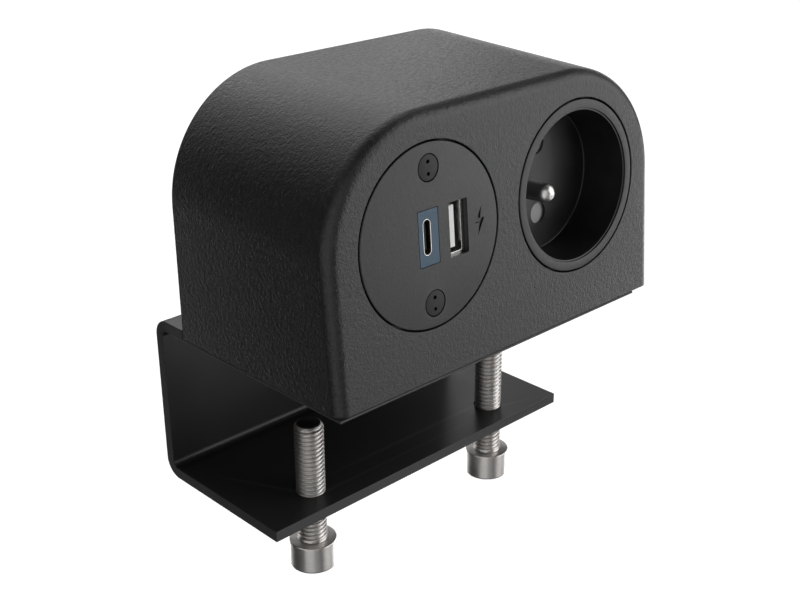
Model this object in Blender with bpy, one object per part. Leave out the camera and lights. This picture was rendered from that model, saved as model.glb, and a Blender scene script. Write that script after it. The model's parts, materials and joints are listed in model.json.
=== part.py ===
"""Clamp-on desk power module.

A D-shaped black casing holds a USB charger module and a recessed mains socket side by side.
It stands on the top flange of a bent steel bracket, and two cap screws through the bracket's
lower flange clamp a desk top between their tips and the top flange.

Sizes are in millimetres and become metres when a mesh is made. The origin is on the underside
of the top flange, in the middle of its length. The front faces -Y, and +Z is up.
"""
import math

import bmesh
import bpy
from mathutils import Matrix
from mathutils import Vector

MM = 0.001

# Clearance between neighbouring pieces
GAP = 0.3

# Casing
CASE_LEFT = -54.0
CASE_WIDTH = 115.6
CASE_RIGHT = CASE_LEFT + CASE_WIDTH
CASE_DEPTH = 61.6
CASE_FRONT = -CASE_DEPTH / 2
CASE_BACK = CASE_DEPTH / 2
CASE_HEIGHT = 68.0
CASE_FRONT_HEIGHT = 65.6
CASE_RADIUS = 31.3
CASE_WALL = 3.0
CASE_RIM = 0.9
CASE_ARC_STEPS = 14
FRONT_LEAN = math.radians(4.5)
FRONT_FILLET = 4.0
FRONT_FILLET_STEPS = 4

# Bracket
SHEET = 3.0
BRACKET_LENGTH = 108.0
BRACKET_BACK = 43.3
BRACKET_DROP = 44.25
LOWER_FLANGE_FRONT = -4.7
BEND_INNER = 2.0
BEND_OUTER = BEND_INNER + SHEET
BEND_STEPS = 6
LOCATING_LIP = 0.6
BRACKET_SCREW_X = (-45.0, 48.0)
BRACKET_SCREW_Y = (-20.0, 8.0)
BRACKET_SCREW_SHANK = 1.9
BRACKET_SCREW_END = 12.0
BRACKET_POST = 4.0
BRACKET_POST_TOP = 14.0
RIB_WIDTH = 4.0
RIB_TOP = 13.5

# Clamp screws, M8 x 35, heads down
CLAMP_SCREW_X = (-34.5, 34.5)
CLAMP_SCREW_Y = 5.0
CLAMP_SHANK = 4.0
CLAMP_HEAD = 6.5
CLAMP_HEAD_TOP = -56.0
CLAMP_HEAD_BOTTOM = -64.0
CLAMP_SHANK_END = -22.0
CLAMP_TIP_END = -21.0
CLAMP_TIP = 3.2
CLAMP_STEM = 1.5
CLAMP_STEM_END = -24.6
HEX_SOCKET = 3.46
HEX_SOCKET_DEPTH = 4.0

# Round modules in the front wall
MODULE_X = (-22.3, 30.65)
MODULE_UP = 36.2
MODULE_OPENING = 22.8
MODULE_FACE = 22.2
MODULE_FLANGE = 25.5
MODULE_FLANGE_FRONT = CASE_WALL + GAP
MODULE_FLANGE_BACK = 5.8
MODULE_BODY = 21.0
PLATE_FRONT = MODULE_FLANGE_BACK + GAP
PLATE_BACK = PLATE_FRONT + 1.5
PLATE_END = 25.8
PLATE_SCREW_UP = (21.0, -21.0)
PLATE_POST = 3.5

# Charger module
BEZEL_THICKNESS = 2.5
BEZEL_HOLLOW = 19.5
FASTENER_UP = (16.4, -16.4)
FASTENER_HEAD = 3.15
FASTENER_HEAD_DEPTH = 1.6
FASTENER_SHANK = 1.2
INSERT_CENTRE = (-0.9, 0.0)
INSERT_SIZE = (6.2, 13.4)
USB_C_CENTRE = (-1.4, 0.2)
USB_C_SIZE = (3.0, 9.0)
USB_A_CENTRE = (9.0, 0.0)
USB_A_SIZE = (6.1, 13.3)
SHELL_WALL = 0.35
PORT_BACK = 14.5
BOARD_FRONT = 14.8
BOARD_BACK = 16.4
CAN_BACK = 31.0
CAN_WALL = 1.5

# Socket module
RECESS = 19.5
RECESS_DEPTH = 13.7
FLOOR_BACK = 14.4
CONTACT_UP = (9.5, -9.5)
CONTACT_HOLE = 2.9
EARTH_PIN_X = -9.6
EARTH_PIN = 2.5
EARTH_PIN_TIP = 0.3
EARTH_PIN_BACK = 28.0
SHUTTER_FRONT = 14.7
SHUTTER_BACK = 16.3
SHUTTER_END = 3.5
CARRIER_FRONT = 21.5
CARRIER_BACK = 29.0
CARRIER = 18.8
CONTACT_INNER = 2.5
CONTACT_OUTER = 3.2
CONTACT_FRONT = 19.3
CONTACT_BACK = 31.0
PIVOT_PIN = 1.2
PIVOT_PIN_BACK = 26.0
BASE_FRONT = 14.7
BASE_BACK = 37.0
BASE_WALL = 1.8
BASE_OPENING = 15.0

# Rear cover, cable gland and terminal block
COVER_BACK = CASE_BACK - GAP
COVER_THICKNESS = 2.5
COVER_FRONT = COVER_BACK - COVER_THICKNESS
COVER_INSET = CASE_WALL + 0.6
COVER_BOTTOM = CASE_RIM + CASE_WALL + GAP
COVER_SCREWS = ((-47.5, 9.0), (55.0, 9.0), (-40.7, 54.4), (48.4, 54.4))
COVER_BOSS = 4.0
COVER_BOSS_FRONT = 14.0
PILOT_HOLE = 1.5
GLAND_X = 30.0
GLAND_UP = 18.0
GLAND_BORE = 4.0
GLAND_TUBE = 6.0
GLAND_COLLAR = 7.0
GLAND_FLANGE = 9.0
GLAND_CAP = 8.8
TERMINAL_X = -14.0
TERMINAL_SIZE = (28.0, 11.0, 11.0)
TERMINAL_Y = 18.0
TERMINAL_PITCH = 9.0
TERMINAL_SCREW = 1.8
TERMINAL_SCREW_TOP = 23.1
WIRE_RADIUS = 0.9

# Segments round a full turn
FINE = 48
MEDIUM = 28
SMALL = 14
ROUND = SMALL + 8


def clear_scene():
    """Remove every object that the file opened with."""
    for old in list(bpy.data.objects):
        bpy.data.objects.remove(old, do_unlink=True)


def make_material(name, colour, roughness, metallic=0.0):
    """A Principled material of one colour."""
    made = bpy.data.materials.new(name)
    made.use_nodes = True
    shader = made.node_tree.nodes["Principled BSDF"]
    shader.inputs["Base Color"].default_value = (*colour, 1.0)
    shader.inputs["Roughness"].default_value = roughness
    shader.inputs["Metallic"].default_value = metallic
    made.diffuse_color = (*colour, 1.0)
    return made


# ---- shapes: each returns a bmesh in millimetres

def circle(radius, steps, centre=(0.0, 0.0)):
    """Points round a circle."""
    points = []
    for step in range(steps):
        angle = math.tau * step / steps
        points.append((centre[0] + radius * math.cos(angle), centre[1] + radius * math.sin(angle)))
    return points


def arc(centre, radius, start, end, steps):
    """Points along an arc, angles in degrees, both ends included."""
    points = []
    for step in range(steps + 1):
        angle = math.radians(start + (end - start) * step / steps)
        points.append((centre[0] + radius * math.cos(angle), centre[1] + radius * math.sin(angle)))
    return points


def rounded_rectangle(size, radius, centre=(0.0, 0.0), steps=4):
    """Outline of a rectangle with rounded corners."""
    half_x = size[0] / 2 - radius
    half_y = size[1] / 2 - radius
    points = []
    for sign_x, sign_y, start in ((1, 1, 0), (-1, 1, 90), (-1, -1, 180), (1, -1, 270)):
        corner = (centre[0] + sign_x * half_x, centre[1] + sign_y * half_y)
        points += arc(corner, radius, start, start + 90, steps)
    return points


def stadium(size, centre=(0.0, 0.0), steps=6):
    """Outline of a slot with full round ends on its shorter sides."""
    radius = min(size) / 2
    return rounded_rectangle(size, radius - 0.001, centre, steps)


def prism(outline, low, high):
    """An outline in XY, extruded from one height to another."""
    shape = bmesh.new()
    bottom = shape.faces.new([shape.verts.new((x, y, low)) for x, y in outline])
    raised = bmesh.ops.extrude_face_region(shape, geom=[bottom])
    lifted = [item for item in raised["geom"] if isinstance(item, bmesh.types.BMVert)]
    bmesh.ops.translate(shape, verts=lifted, vec=(0.0, 0.0, high - low))
    bmesh.ops.recalc_face_normals(shape, faces=shape.faces)
    return shape


def turned(profile, steps, closed=False):
    """A profile of (radius, height) points, spun about Z.

    An open profile starts and ends on the axis, and a closed one stays clear of it.
    """
    shape = bmesh.new()
    points = [shape.verts.new((radius, 0.0, height)) for radius, height in profile]
    for first, second in zip(points, points[1:]):
        shape.edges.new((first, second))
    if closed:
        shape.edges.new((points[-1], points[0]))
    bmesh.ops.spin(shape, geom=shape.verts[:] + shape.edges[:], axis=(0, 0, 1), cent=(0, 0, 0),
                   angle=math.tau, steps=steps, use_merge=True)
    bmesh.ops.remove_doubles(shape, verts=shape.verts, dist=0.0001)
    bmesh.ops.recalc_face_normals(shape, faces=shape.faces)
    return shape


def combined(shapes):
    """Several separate closed shapes in one mesh, for use as one cutter."""
    whole = bmesh.new()
    for shape in shapes:
        piece = bpy.data.meshes.new("cutter_piece")
        shape.to_mesh(piece)
        shape.free()
        whole.from_mesh(piece)
        bpy.data.meshes.remove(piece)
    return whole


def moved(shape, offset):
    """The same shape, shifted."""
    bmesh.ops.translate(shape, verts=shape.verts, vec=offset)
    return shape


def along_y(shape):
    """Turn a shape built along +Z so that it runs along +Y."""
    turn = Matrix.Rotation(-math.pi / 2, 3, "X")
    bmesh.ops.rotate(shape, verts=shape.verts, cent=(0, 0, 0), matrix=turn)
    return shape


def along_x(shape):
    """Turn a shape drawn in Y and Z and built along +Z so that it runs along +X."""
    turn = Matrix(((0, 0, 1), (1, 0, 0), (0, 1, 0)))
    bmesh.ops.transform(shape, matrix=turn.to_4x4(), verts=shape.verts)
    return shape


# ---- objects

def add_object(name, shape, material, parent=None, location=(0.0, 0.0, 0.0)):
    """Make an object from a shape in millimetres, smooth where it is round."""
    bmesh.ops.scale(shape, verts=shape.verts, vec=(MM, MM, MM))
    mesh = bpy.data.meshes.new(name)
    shape.to_mesh(mesh)
    shape.free()
    mesh.materials.append(material)
    mesh.shade_smooth()
    mesh.set_sharp_from_angle(angle=math.radians(35))
    made = bpy.data.objects.new(name, mesh)
    bpy.context.collection.objects.link(made)
    made.parent = parent
    made.location = Vector(location) * MM
    return made


def add_tool(target, shape, operation):
    """Cut a shape from an object, or join it on, in the object's own axes."""
    name = f"{target.name}_{operation.lower()}_{len(target.modifiers)}"
    tool = add_object(name, shape, target.data.materials[0], target.parent)
    tool.location = target.location
    tool.hide_render = True
    tool.display_type = "WIRE"
    step = target.modifiers.new(name, "BOOLEAN")
    step.operation = operation
    step.solver = "EXACT"
    step.object = tool


def cut(target, shape):
    add_tool(target, shape, "DIFFERENCE")


def join(target, shape):
    add_tool(target, shape, "UNION")


def add_empty(name, location, lean=0.0):
    """A bare axis that other pieces hang on."""
    made = bpy.data.objects.new(name, None)
    bpy.context.collection.objects.link(made)
    made.location = Vector(location) * MM
    made.rotation_euler = (lean, 0.0, 0.0)
    return made


def front_axis(name, x):
    """An axis on the leaning front face: +Z points out of the face and +Y up along it."""
    up = MODULE_UP
    location = (x, CASE_FRONT + up * math.sin(FRONT_LEAN), up * math.cos(FRONT_LEAN))
    return add_empty(name, location, math.pi / 2 - FRONT_LEAN)


def pan_screw(head, head_height, shank, length, steps=SMALL):
    """A screw along +Z: its head's seat is at zero, the shank runs down, the head stands up."""
    profile = [(0.0, -length), (shank * 0.6, -length), (shank, -length + shank * 0.6), (shank, 0.0)]
    profile += [(head, 0.0), (head, head_height * 0.5), (head * 0.75, head_height), (0.0, head_height)]
    return turned(profile, steps)


def cross_recess(arm, width, depth, top):
    """The cross cut into a screw's head."""
    half = width / 2
    outline = [(half, half), (half, arm), (-half, arm), (-half, half), (-arm, half), (-arm, -half),
               (-half, -half), (-half, -arm), (half, -arm), (half, -half), (arm, -half), (arm, half)]
    return prism(outline, top - depth, top + 1.0)


# ---- casing and rear cover

def front_middle():
    """The X midway between the two modules."""
    return sum(MODULE_X) / 2


def on_front(shape, front):
    """Bring a shape from the front face's axes into the casing's axes, still in millimetres."""
    turn = Matrix.Rotation(front.rotation_euler.x, 4, "X")
    shift = Matrix.Translation(front.location / MM)
    bmesh.ops.transform(shape, matrix=shift @ turn, verts=shape.verts)
    return shape


def case_outline(inset, bottom):
    """The D outline in X and Z at the casing's back, from the bottom left to the bottom right."""
    radius = CASE_RADIUS - inset
    left = CASE_LEFT + CASE_RADIUS
    right = CASE_RIGHT - CASE_RADIUS
    up = CASE_HEIGHT - CASE_RADIUS
    points = [(CASE_LEFT + inset, bottom)]
    points += arc((left, up), radius, 180, 90, CASE_ARC_STEPS)
    points += arc((right, up), radius, 90, 0, CASE_ARC_STEPS)
    points.append((CASE_RIGHT - inset, bottom))
    return points


def case_solid(outline, front_inset, back, fillet=0.0):
    """Loft an outline from the leaning front plane to a plane at the back.

    The top slopes down a little towards the front.
    """
    shape = bmesh.new()
    shrink = CASE_FRONT_HEIGHT / CASE_HEIGHT
    front_ring = []
    back_ring = []
    for x, z in outline:
        front_z = z * shrink
        front_y = CASE_FRONT + front_inset + front_z * math.tan(FRONT_LEAN)
        share = (back - front_y) / (CASE_BACK - front_y)
        back_z = front_z + (z - front_z) * share
        front_ring.append(shape.verts.new((x, front_y, front_z)))
        back_ring.append(shape.verts.new((x, back, back_z)))
    count = len(outline)
    for step in range(count):
        after = (step + 1) % count
        shape.faces.new((front_ring[step], front_ring[after], back_ring[after], back_ring[step]))
    shape.faces.new(front_ring)
    shape.faces.new(back_ring)
    if fillet:
        rim = [shape.edges.get((front_ring[step], front_ring[step + 1])) for step in range(count - 1)]
        bmesh.ops.bevel(shape, geom=rim, offset=fillet, segments=FRONT_FILLET_STEPS, profile=0.5,
                        affect="EDGES")
    bmesh.ops.recalc_face_normals(shape, faces=shape.faces)
    return shape


def casing(material, front):
    outside = case_solid(case_outline(0.0, CASE_RIM), 0.0, CASE_BACK, FRONT_FILLET)
    body = add_object("casing", outside, material)
    # The hollow, open at the back and above the bracket, with a closed ledge past the bracket's end
    ledge = CASE_LEFT + BRACKET_LENGTH + GAP
    hollow = case_outline(CASE_WALL, -5.0)[:-1]
    ledge_top = CASE_RIM + CASE_WALL
    hollow += [(CASE_RIGHT - CASE_WALL, ledge_top), (ledge, ledge_top), (ledge, -5.0)]
    cut(body, case_solid(hollow, CASE_WALL, CASE_BACK + 5.0))
    # Bosses for the rear cover's screws, along the walls
    for x, z in COVER_SCREWS:
        boss = prism(circle(COVER_BOSS, SMALL), COVER_BOSS_FRONT, COVER_FRONT - GAP)
        join(body, moved(along_y(boss), (x, 0.0, z)))
    # Posts for the bracket's screws, each with a rib to the side wall
    for x in BRACKET_SCREW_X:
        wall = CASE_LEFT + CASE_WALL / 2 if x < 0 else CASE_RIGHT - CASE_WALL / 2
        for y in BRACKET_SCREW_Y:
            join(body, prism(circle(BRACKET_POST, SMALL, (x, y)), SHEET + GAP, BRACKET_POST_TOP))
            near = y - RIB_WIDTH / 2
            far = y + RIB_WIDTH / 2
            rib = [(x, near), (wall, near), (wall, far), (x, far)]
            join(body, prism(rib, SHEET + GAP + 1.0, RIB_TOP))
    # Posts behind the front wall for the retainer plate
    for up in PLATE_SCREW_UP:
        post = prism(circle(PLATE_POST, SMALL, (0.0, up)), -MODULE_FLANGE_BACK, -CASE_WALL / 2)
        join(body, on_front(post, front))
    # Round openings for the two modules
    for x in MODULE_X:
        opening = prism(circle(MODULE_OPENING, FINE, (x - front_middle(), 0.0)), -8.0, 5.0)
        cut(body, on_front(opening, front))
    # Screw holes
    holes = []
    for x, z in COVER_SCREWS:
        hole = prism(circle(PILOT_HOLE, SMALL), COVER_BOSS_FRONT + 1.5, CASE_BACK)
        holes.append(moved(along_y(hole), (x, 0.0, z)))
    for x in BRACKET_SCREW_X:
        for y in BRACKET_SCREW_Y:
            radius = BRACKET_SCREW_SHANK + GAP
            holes.append(prism(circle(radius, SMALL, (x, y)), 0.0, BRACKET_SCREW_END + 0.4))
    for up in PLATE_SCREW_UP:
        hole = prism(circle(PILOT_HOLE, SMALL, (0.0, up)), -PLATE_BACK - 1.4, -CASE_WALL - 0.2)
        holes.append(on_front(hole, front))
    cut(body, combined(holes))


def rear_cover(material):
    outline = [(x, -z) for x, z in case_outline(COVER_INSET, COVER_BOTTOM)]
    cover = add_object("rear_cover", along_y(prism(outline, COVER_FRONT, COVER_BACK)), material)
    holes = []
    for x, z in COVER_SCREWS:
        hole = prism(circle(PILOT_HOLE + GAP, SMALL), COVER_FRONT - 5.0, COVER_BACK + 5.0)
        holes.append(moved(along_y(hole), (x, 0.0, z)))
    hole = prism(circle(GLAND_TUBE + GAP, MEDIUM), COVER_FRONT - 5.0, COVER_BACK + 5.0)
    holes.append(moved(along_y(hole), (GLAND_X, 0.0, GLAND_UP)))
    cut(cover, combined(holes))


def cover_screws(material):
    head_height = 1.7
    for number, (x, z) in enumerate(COVER_SCREWS, 1):
        shape = along_y(pan_screw(2.9, head_height, 1.2, 10.0))
        screw = add_object(f"cover_screw_{number}", shape, material, None, (x, COVER_BACK + GAP, z))
        cut(screw, along_y(cross_recess(1.5, 0.7, 0.9, head_height)))


# ---- bracket and clamp screws

def bracket_profile():
    """The bent sheet's outline in Y and Z."""
    bend_y = BRACKET_BACK - BEND_OUTER
    upper = (bend_y, SHEET - BEND_OUTER)
    lower = (bend_y, -BRACKET_DROP + BEND_OUTER)
    points = [(CASE_FRONT, SHEET)]
    points += arc(upper, BEND_OUTER, 90, 0, BEND_STEPS)
    points += arc(lower, BEND_OUTER, 0, -90, BEND_STEPS)
    points += [(LOWER_FLANGE_FRONT, -BRACKET_DROP), (LOWER_FLANGE_FRONT, -BRACKET_DROP + SHEET)]
    points += arc(lower, BEND_INNER, -90, 0, BEND_STEPS)
    points += arc(upper, BEND_INNER, 0, 90, BEND_STEPS)
    points.append((CASE_FRONT, 0.0))
    return points


def clamp_bracket(material):
    left = CASE_LEFT
    right = CASE_LEFT + BRACKET_LENGTH
    bracket = add_object("clamp_bracket", along_x(prism(bracket_profile(), left, right)), material)
    # The lip that the casing's rim stands on, along the left end and the front
    inner_x = left + CASE_WALL + GAP
    inner_y = CASE_FRONT + CASE_WALL + 2 * GAP
    end_y = CASE_BACK + GAP
    lip = [(left - 5, CASE_FRONT - 5), (right + 5, CASE_FRONT - 5), (right + 5, inner_y), (inner_x, inner_y),
           (inner_x, end_y), (left - 5, end_y)]
    cut(bracket, prism(lip, LOCATING_LIP, SHEET + 5))
    holes = []
    for x in CLAMP_SCREW_X:
        outline = circle(CLAMP_SHANK + GAP, MEDIUM, (x, CLAMP_SCREW_Y))
        holes.append(prism(outline, -BRACKET_DROP - 5.0, -BRACKET_DROP + SHEET + 5.0))
    # Countersunk holes for the screws that hold the casing
    for x in BRACKET_SCREW_X:
        for y in BRACKET_SCREW_Y:
            sink = [(0, -1.0), (4.8, -1.0), (4.6, 0.0), (2.4, 2.2), (2.4, 6.0), (0, 6.0)]
            holes.append(moved(turned(sink, SMALL), (x, y, 0.0)))
    cut(bracket, combined(holes))


def bracket_screws(material):
    shank = BRACKET_SCREW_SHANK
    end = BRACKET_SCREW_END
    profile = [(0, 0.1), (4.0, 0.1), (4.0, 0.3), (shank, 2.4)]
    profile += [(shank, end - 0.6), (shank - 0.5, end), (0, end)]
    number = 0
    for x in BRACKET_SCREW_X:
        for y in BRACKET_SCREW_Y:
            number += 1
            shape = turned(profile, SMALL)
            screw = add_object(f"bracket_screw_{number}", shape, material, None, (x, y, 0.0))
            cut(screw, prism(circle(1.45, 6), -1.0, 1.9))


def clamp_screw(side, x, steel, nylon):
    """A cap screw whose end holds a small pressure tip that does not turn with it."""
    axis = add_empty(f"clamp_axis_{side}", (x, CLAMP_SCREW_Y, 0.0))
    end = CLAMP_SHANK_END
    stem = CLAMP_STEM + GAP
    top = CLAMP_HEAD_TOP
    bottom = CLAMP_HEAD_BOTTOM
    profile = [(0, bottom), (CLAMP_HEAD - 0.6, bottom), (CLAMP_HEAD, bottom + 0.6), (CLAMP_HEAD, top - 0.3)]
    profile += [(CLAMP_HEAD - 0.3, top), (CLAMP_SHANK + 0.5, top), (CLAMP_SHANK, top + 0.5)]
    profile += [(CLAMP_SHANK, end - 0.8), (CLAMP_SHANK - 0.6, end), (stem, end)]
    profile += [(stem, CLAMP_STEM_END - GAP), (0, CLAMP_STEM_END - GAP)]
    screw = add_object(f"clamp_screw_{side}", turned(profile, MEDIUM), steel, axis)
    cut(screw, prism(circle(HEX_SOCKET, 6), bottom - 1.0, bottom + HEX_SOCKET_DEPTH))
    tip = [(0, CLAMP_STEM_END), (CLAMP_STEM, CLAMP_STEM_END), (CLAMP_STEM, end + GAP), (CLAMP_TIP, end + GAP),
           (CLAMP_TIP, CLAMP_TIP_END - 0.2), (CLAMP_TIP - 0.2, CLAMP_TIP_END), (0, CLAMP_TIP_END)]
    add_object(f"clamp_tip_{side}", turned(tip, MEDIUM), nylon, axis)


# ---- charger module, in the axes of its place on the front face

def charger_bezel(material, axis):
    profile = [(0, 0), (MODULE_FACE - 0.3, 0), (MODULE_FACE, -0.3), (MODULE_FACE, -MODULE_FLANGE_FRONT),
               (MODULE_FLANGE, -MODULE_FLANGE_FRONT), (MODULE_FLANGE, -MODULE_FLANGE_BACK),
               (BEZEL_HOLLOW, -MODULE_FLANGE_BACK), (BEZEL_HOLLOW, -BEZEL_THICKNESS), (0, -BEZEL_THICKNESS)]
    bezel = add_object("charger_bezel", turned(profile, FINE), material, axis)
    windows = []
    for size, centre in ((INSERT_SIZE, INSERT_CENTRE), (USB_A_SIZE, USB_A_CENTRE)):
        opening = (size[0] + 2 * GAP, size[1] + 2 * GAP)
        windows.append(prism(rounded_rectangle(opening, 0.5, centre), -6.0, 2.0))
    for up in FASTENER_UP:
        seat = FASTENER_HEAD + GAP
        through = FASTENER_SHANK + GAP
        floor = -FASTENER_HEAD_DEPTH - GAP
        hole = [(0, 2), (seat, 2), (seat, floor), (through, floor), (through, -6), (0, -6)]
        windows.append(moved(turned(hole, ROUND), (0.0, up, 0.0)))
    cut(bezel, combined(windows))


def bezel_fasteners(material, axis):
    seat = -FASTENER_HEAD_DEPTH
    profile = [(0, -5.5), (FASTENER_SHANK, -5.5), (FASTENER_SHANK, seat), (FASTENER_HEAD, seat)]
    profile += [(FASTENER_HEAD, -0.2), (FASTENER_HEAD - 0.2, 0), (0, 0)]
    for side, up in zip(("upper", "lower"), FASTENER_UP):
        shape = turned(profile, ROUND)
        fastener = add_object(f"bezel_fastener_{side}", shape, material, axis, (0.0, up, 0.0))
        twin_holes = [prism(circle(0.5, 12, (0.0, offset)), -1.0, 1.0) for offset in (-1.45, 1.45)]
        cut(fastener, combined(twin_holes))


def usb_ports(blue, steel, plastic, axis):
    face = rounded_rectangle(INSERT_SIZE, 0.3, INSERT_CENTRE)
    flange = rounded_rectangle((INSERT_SIZE[0] + 2.0, INSERT_SIZE[1] + 2.0), 0.5, INSERT_CENTRE)
    insert = add_object("usb_c_insert", prism(face, -4.0, 0.0), blue, axis)
    join(insert, prism(flange, -4.4, -BEZEL_THICKNESS - GAP))
    mouth = (USB_C_SIZE[0] + 2 * GAP, USB_C_SIZE[1] + 2 * GAP)
    cut(insert, prism(stadium(mouth, USB_C_CENTRE), -6.0, 2.0))
    hollow = (USB_C_SIZE[0] - 2 * SHELL_WALL, USB_C_SIZE[1] - 2 * SHELL_WALL)
    shell = add_object("usb_c_shell", prism(stadium(USB_C_SIZE, USB_C_CENTRE), -PORT_BACK, 0.1), steel, axis)
    cut(shell, prism(stadium(hollow, USB_C_CENTRE), -PORT_BACK + 1.0, 2.0))
    tongue_back = -PORT_BACK + 1.0 + GAP
    tongue = prism(rounded_rectangle((0.8, 6.6), 0.2, USB_C_CENTRE), tongue_back, -0.9)
    add_object("usb_c_tongue", tongue, plastic, axis)
    box = prism(rounded_rectangle(USB_A_SIZE, 0.5, USB_A_CENTRE), -PORT_BACK, -0.1)
    shell = add_object("usb_a_shell", box, steel, axis)
    inside = (USB_A_SIZE[0] - 2 * SHELL_WALL, USB_A_SIZE[1] - 2 * SHELL_WALL)
    cut(shell, prism(rounded_rectangle(inside, 0.3, USB_A_CENTRE), -PORT_BACK + 1.0, 2.0))
    place = (USB_A_CENTRE[0] - 1.1, USB_A_CENTRE[1])
    tongue = prism(rounded_rectangle((1.9, 11.2), 0.2, place), tongue_back, -1.2)
    add_object("usb_a_tongue", tongue, plastic, axis)


def charger_electronics(board, core, metal, axis):
    plate = prism(rounded_rectangle((28.0, 24.0), 1.0), -BOARD_BACK, -BOARD_FRONT)
    add_object("charger_board", plate, board, axis)
    front = -BOARD_BACK - GAP
    back = front - 11.0
    block = prism(rounded_rectangle((15.0, 13.0), 1.5, (-5.0, 2.0)), back, front)
    add_object("transformer", block, core, axis)
    for number, up in enumerate((6.2, -4.2), 1):
        profile = [(0, front), (4.0, front), (4.0, back + 0.4), (3.6, back), (0, back)]
        add_object(f"capacitor_{number}", turned(profile, SMALL), metal, axis, (9.0, up, 0.0))


def charger_can(material, axis):
    front = -MODULE_FLANGE_BACK - GAP
    inner = MODULE_BODY - CAN_WALL
    profile = [(0, -CAN_BACK), (MODULE_BODY - 1.0, -CAN_BACK), (MODULE_BODY, -CAN_BACK + 1.0)]
    profile += [(MODULE_BODY, front), (inner, front)]
    profile += [(inner, -CAN_BACK + CAN_WALL), (0, -CAN_BACK + CAN_WALL)]
    can = add_object("charger_can", turned(profile, FINE), material, axis)
    cut(can, prism(stadium((12.0, 5.0), (0.0, -13.0)), -CAN_BACK - 3.0, -CAN_BACK + 5.0))


# ---- socket module, in the axes of its place on the front face

def socket_cup(material, axis):
    profile = [(0, -RECESS_DEPTH), (RECESS - 0.3, -RECESS_DEPTH), (RECESS, -RECESS_DEPTH + 0.3)]
    profile += [(RECESS, -0.6), (RECESS + 0.6, 0), (MODULE_FACE - 0.3, 0), (MODULE_FACE, -0.3)]
    profile += [(MODULE_FACE, -MODULE_FLANGE_FRONT), (MODULE_FLANGE, -MODULE_FLANGE_FRONT)]
    profile += [(MODULE_FLANGE, -MODULE_FLANGE_BACK), (MODULE_BODY, -MODULE_FLANGE_BACK)]
    profile += [(MODULE_BODY, -FLOOR_BACK), (0, -FLOOR_BACK)]
    cup = add_object("socket_cup", turned(profile, FINE), material, axis)
    holes = [prism(circle(CONTACT_HOLE, ROUND, (0.0, up)), -20.0, -10.0) for up in CONTACT_UP]
    holes.append(prism(circle(EARTH_PIN + GAP, ROUND, (EARTH_PIN_X, 0.0)), -20.0, -10.0))
    cut(cup, combined(holes))


def earth_pin(material, axis):
    nose = arc((0.0, -EARTH_PIN_TIP - EARTH_PIN), EARTH_PIN, 90, 0, 8)
    shoulder = EARTH_PIN + 1.0
    front = -FLOOR_BACK - GAP
    profile = [(0.0, -EARTH_PIN_TIP)] + nose[1:]
    profile += [(EARTH_PIN, front), (shoulder, front), (shoulder, front - 1.6), (EARTH_PIN, front - 1.6)]
    profile += [(EARTH_PIN, -EARTH_PIN_BACK), (0, -EARTH_PIN_BACK)]
    add_object("earth_pin", turned(profile, ROUND), material, axis, (EARTH_PIN_X, 0.0, 0.0))


def shutter(plastic, steel, axis):
    length = 2 * CONTACT_UP[0] + 2 * SHUTTER_END
    outline = stadium((2 * SHUTTER_END, length))
    plate = add_object("shutter", prism(outline, -SHUTTER_BACK, -SHUTTER_FRONT), plastic, axis)
    cut(plate, prism(circle(PIVOT_PIN + GAP, SMALL), -SHUTTER_BACK - 5.0, -SHUTTER_FRONT + 5.0))
    pin_front = -BASE_FRONT - 0.1
    pin = [(0, -PIVOT_PIN_BACK), (PIVOT_PIN, -PIVOT_PIN_BACK), (PIVOT_PIN, pin_front), (0, pin_front)]
    add_object("shutter_pin", turned(pin, SMALL), steel, axis)


def shutter_spring(material, axis):
    """A light torsion spring round the pin, between the shutter and the carrier."""
    turns = 2.5
    steps = 30
    radius = 2.0
    first = -SHUTTER_BACK - 0.6
    last = -CARRIER_FRONT + 0.6
    curve = bpy.data.curves.new("shutter_spring", "CURVE")
    curve.dimensions = "3D"
    curve.bevel_depth = 0.25 * MM
    curve.bevel_resolution = 2
    curve.use_fill_caps = True
    line = curve.splines.new("POLY")
    line.points.add(steps)
    for step in range(steps + 1):
        share = step / steps
        angle = math.tau * turns * share
        point = Vector((radius * math.cos(angle), radius * math.sin(angle), first + (last - first) * share))
        line.points[step].co = (*(point * MM), 1.0)
    curve.materials.append(material)
    made = bpy.data.objects.new("shutter_spring", curve)
    bpy.context.collection.objects.link(made)
    made.parent = axis


def socket_contacts(brass, plastic, axis):
    for side, up in zip(("upper", "lower"), CONTACT_UP):
        profile = [(CONTACT_INNER, -CONTACT_FRONT), (CONTACT_OUTER, -CONTACT_FRONT - 0.5)]
        profile += [(CONTACT_OUTER, -CONTACT_BACK), (CONTACT_INNER, -CONTACT_BACK)]
        shape = turned(profile, ROUND, closed=True)
        sleeve = add_object(f"contact_{side}", shape, brass, axis, (0.0, up, 0.0))
        slot = rounded_rectangle((1.0, 8.0), 0.1, steps=1)
        cut(sleeve, prism(slot, -CONTACT_BACK + 4.0, -CONTACT_FRONT + 4.0))
    block = prism(circle(CARRIER, MEDIUM), -CARRIER_BACK, -CARRIER_FRONT)
    carrier = add_object("contact_carrier", block, plastic, axis)
    low = -CARRIER_BACK - 5.0
    high = -CARRIER_FRONT + 5.0
    holes = [prism(circle(CONTACT_OUTER + GAP, ROUND, (0.0, up)), low, high) for up in CONTACT_UP]
    holes.append(prism(circle(EARTH_PIN + GAP, ROUND, (EARTH_PIN_X, 0.0)), low, high))
    holes.append(prism(circle(PIVOT_PIN + GAP, SMALL), -PIVOT_PIN_BACK - 0.5, high))
    cut(carrier, combined(holes))


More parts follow.
